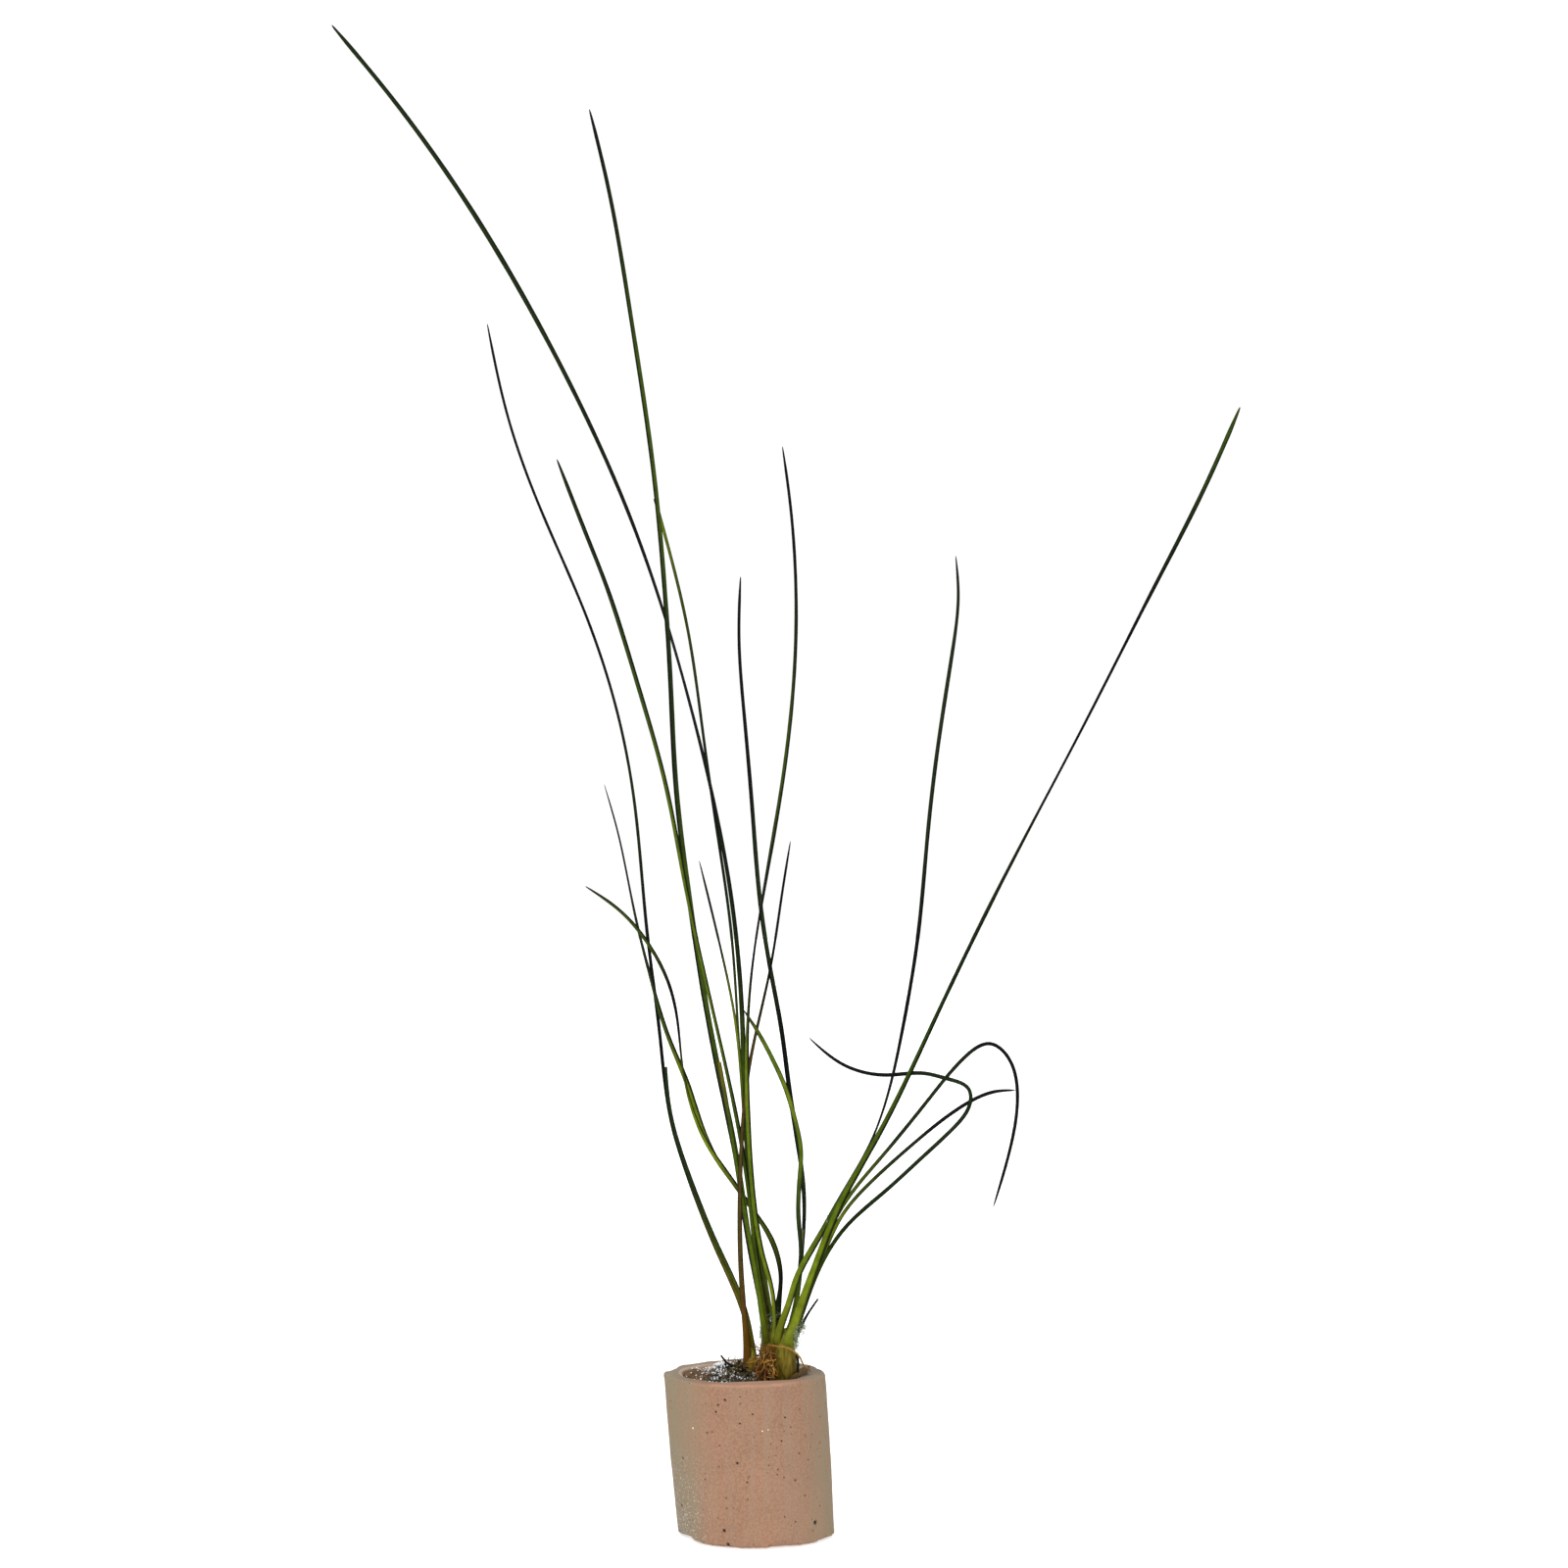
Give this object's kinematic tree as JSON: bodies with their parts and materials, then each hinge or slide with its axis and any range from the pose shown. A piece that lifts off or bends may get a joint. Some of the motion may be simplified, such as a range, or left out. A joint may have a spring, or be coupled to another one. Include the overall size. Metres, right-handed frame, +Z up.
{
  "type": "potted pipewort",
  "caption": "Water plant with long thin strap leaves on short crowns, rooted in stone wool in a small leaning clay pot.",
  "frame": {"origin": "centre of the pot's flat foot, on the surface it stands on", "axes": "+Z up, +X to the right of the pot's front, -Y towards the front; the pot's wall leans towards -X"},
  "size_m": [0.1948, 0.0963, 0.3287],
  "materials": {
    "unglazed_clay": "unglazed fired clay with pinholes and a chalky bloom",
    "stone_wool": "matted mineral fibres with glassy beads",
    "crown_skin": "moist pale green skin, brown at the foot",
    "leaf_green": "satin leaf skin with fine lengthwise veins",
    "leaf_brown": "dull dying leaf skin",
    "root_skin": "wiry tan root skin"
  },
  "bodies": {
    "root": {"pot": "unglazed_clay", "stone_wool": "stone_wool", "crown_left": "crown_skin", "crown_middle": "crown_skin", "crown_right": "crown_skin", "leaf_long_left": "leaf_green", "leaf_tall_left": "leaf_green", "leaf_middle_left": "leaf_green", "leaf_short_left": "leaf_green", "leaf_back_thin": "leaf_green", "leaf_front_tall": "leaf_green", "leaf_needle": "leaf_green", "leaf_twisted": "leaf_green", "leaf_low_arch": "leaf_green", "leaf_thin_left": "leaf_green", "leaf_brown": "leaf_brown", "leaf_left_stub": "leaf_green", "leaf_right_inner": "leaf_green", "leaf_right_bud": "leaf_green", "leaf_right_arch": "leaf_green", "leaf_right_back": "leaf_green", "leaf_long_right": "leaf_green", "leaf_curl": "leaf_green", "leaf_hook": "leaf_green", "leaf_right_low": "leaf_green", "leaf_dry_stub": "leaf_brown", "root_loop": "root_skin", "root_front": "root_skin", "root_middle": "root_skin", "root_back": "root_skin", "root_side": "root_skin", "old_sheath": "leaf_brown"}
  },
  "joints": []
}
